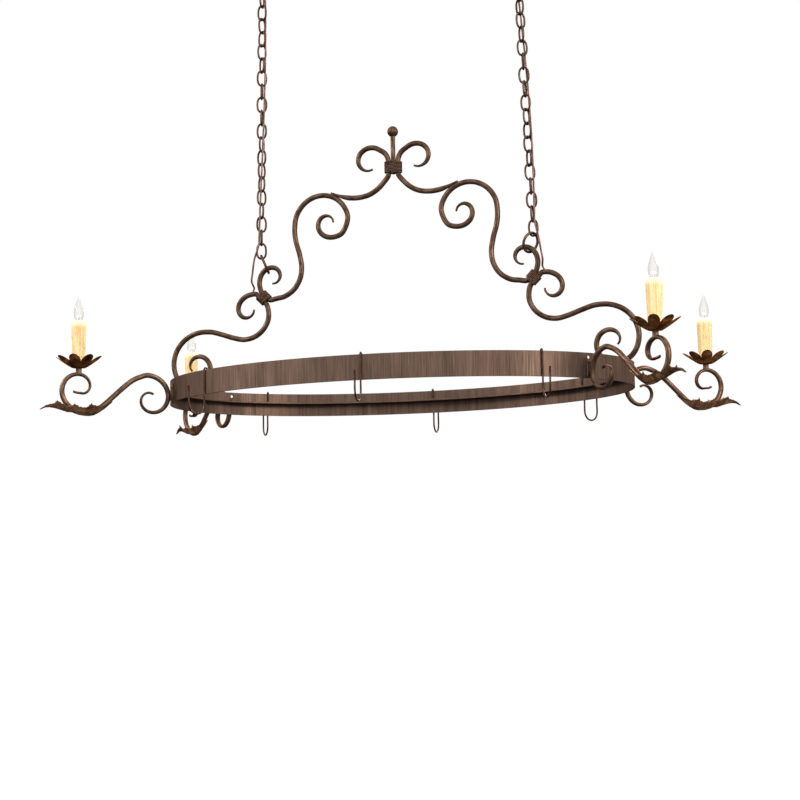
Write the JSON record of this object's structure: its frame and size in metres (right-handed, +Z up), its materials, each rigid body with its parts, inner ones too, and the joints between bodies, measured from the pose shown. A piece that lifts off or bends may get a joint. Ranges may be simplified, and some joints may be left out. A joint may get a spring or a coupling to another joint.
{
  "type": "hanging pot rack",
  "caption": "Oval wrought-iron hanging pot rack with a scrolled arch on two chains, candle lamps on scrolled arms and sliding pan hooks.",
  "frame": {"origin": "on the ceiling, straight above the middle of the ring", "axes": "+X along the ring's long axis, +Y to the back, +Z up to the ceiling"},
  "size_m": [1.5992, 0.8904, 1.202],
  "materials": {
    "patina_iron": "rubbed brown patina",
    "dark_iron": "dark brown patina",
    "candle_wax": "satin wax look",
    "bulb_glass": "clear",
    "socket_porcelain": "glazed",
    "cord_sleeve": "woven sleeve",
    "zinc_steel": "zinc plated"
  },
  "bodies": {
    "ceiling_mounts": {"hanging_loop_left": "patina_iron", "ceiling_canopy_left": "patina_iron", "canopy_bar_left": "zinc_steel", "hanging_loop_right": "patina_iron", "ceiling_canopy_right": "patina_iron", "canopy_bar_right": "zinc_steel"},
    "hanging_rack": {"ring_band": "patina_iron", "ring_ledge": "patina_iron", "crown_finial": "patina_iron", "crown_binding": "patina_iron", "centre_scroll_left": "patina_iron", "shoulder_scroll_left": "patina_iron", "foot_scroll_left": "patina_iron", "side_binding_left": "patina_iron", "chain_ring_left": "patina_iron", "chain_left": "patina_iron", "top_link_left": "patina_iron", "lamp_cord_left": "cord_sleeve", "centre_scroll_right": "patina_iron", "shoulder_scroll_right": "patina_iron", "foot_scroll_right": "patina_iron", "side_binding_right": "patina_iron", "chain_ring_right": "patina_iron", "chain_right": "patina_iron", "top_link_right": "patina_iron", "lamp_cord_right": "cord_sleeve", "lamp_arm_front_left": "patina_iron", "arm_bolt_front_left": "dark_iron", "leaf_front_left": "dark_iron", "drip_pan_front_left": "dark_iron", "lamp_socket_front_left": "socket_porcelain", "candle_sleeve_front_left": "candle_wax", "flame_bulb_front_left": "bulb_glass", "lamp_arm_front_right": "patina_iron", "arm_bolt_front_right": "dark_iron", "leaf_front_right": "dark_iron", "drip_pan_front_right": "dark_iron", "lamp_socket_front_right": "socket_porcelain", "candle_sleeve_front_right": "candle_wax", "flame_bulb_front_right": "bulb_glass", "lamp_arm_back_left": "patina_iron", "arm_bolt_back_left": "dark_iron", "leaf_back_left": "dark_iron", "drip_pan_back_left": "dark_iron", "lamp_socket_back_left": "socket_porcelain", "candle_sleeve_back_left": "candle_wax", "flame_bulb_back_left": "bulb_glass", "lamp_arm_back_right": "patina_iron", "arm_bolt_back_right": "dark_iron", "leaf_back_right": "dark_iron", "drip_pan_back_right": "dark_iron", "lamp_socket_back_right": "socket_porcelain", "candle_sleeve_back_right": "candle_wax", "flame_bulb_back_right": "bulb_glass"},
    "hook_front_left": {"pot_hook_front_left": "dark_iron"},
    "hook_front_centre": {"pot_hook_front_centre": "dark_iron"},
    "hook_front_right": {"pot_hook_front_right": "dark_iron"},
    "hook_back_left": {"pot_hook_back_left": "dark_iron"},
    "hook_back_centre": {"pot_hook_back_centre": "dark_iron"},
    "hook_back_right": {"pot_hook_back_right": "dark_iron"}
  },
  "joints": [
    {"name": "rack_swing", "type": "hinge", "parent": "ceiling_mounts", "child": "hanging_rack", "pos_m": [0, 0, -0.0617], "axis": [1, 0, 0], "range_deg": [-8, 8]},
    {"name": "slide_front_left", "type": "hinge", "parent": "hanging_rack", "child": "hook_front_left", "pos_m": [-0.09206, 0.23106, -1.09], "axis": [0, 0, 1], "range_deg": [-3.3, 3.3]},
    {"name": "slide_front_centre", "type": "hinge", "parent": "hanging_rack", "child": "hook_front_centre", "pos_m": [0.00019, 0.51437, -1.09], "axis": [0, 0, 1], "range_deg": [-2.2, 2.2]},
    {"name": "slide_front_right", "type": "hinge", "parent": "hanging_rack", "child": "hook_front_right", "pos_m": [0.14006, 0.1557, -1.09], "axis": [0, 0, 1], "range_deg": [-3.9, 3.9]},
    {"name": "slide_back_left", "type": "hinge", "parent": "hanging_rack", "child": "hook_back_left", "pos_m": [-0.1551, -0.13588, -1.09], "axis": [0, 0, 1], "range_deg": [-4.1, 4.1]},
    {"name": "slide_back_centre", "type": "hinge", "parent": "hanging_rack", "child": "hook_back_centre", "pos_m": [-0.00006, -0.5172, -1.09], "axis": [0, 0, 1], "range_deg": [-2.2, 2.2]},
    {"name": "slide_back_right", "type": "hinge", "parent": "hanging_rack", "child": "hook_back_right", "pos_m": [0.10826, -0.2033, -1.09], "axis": [0, 0, 1], "range_deg": [-3.5, 3.5]}
  ]
}
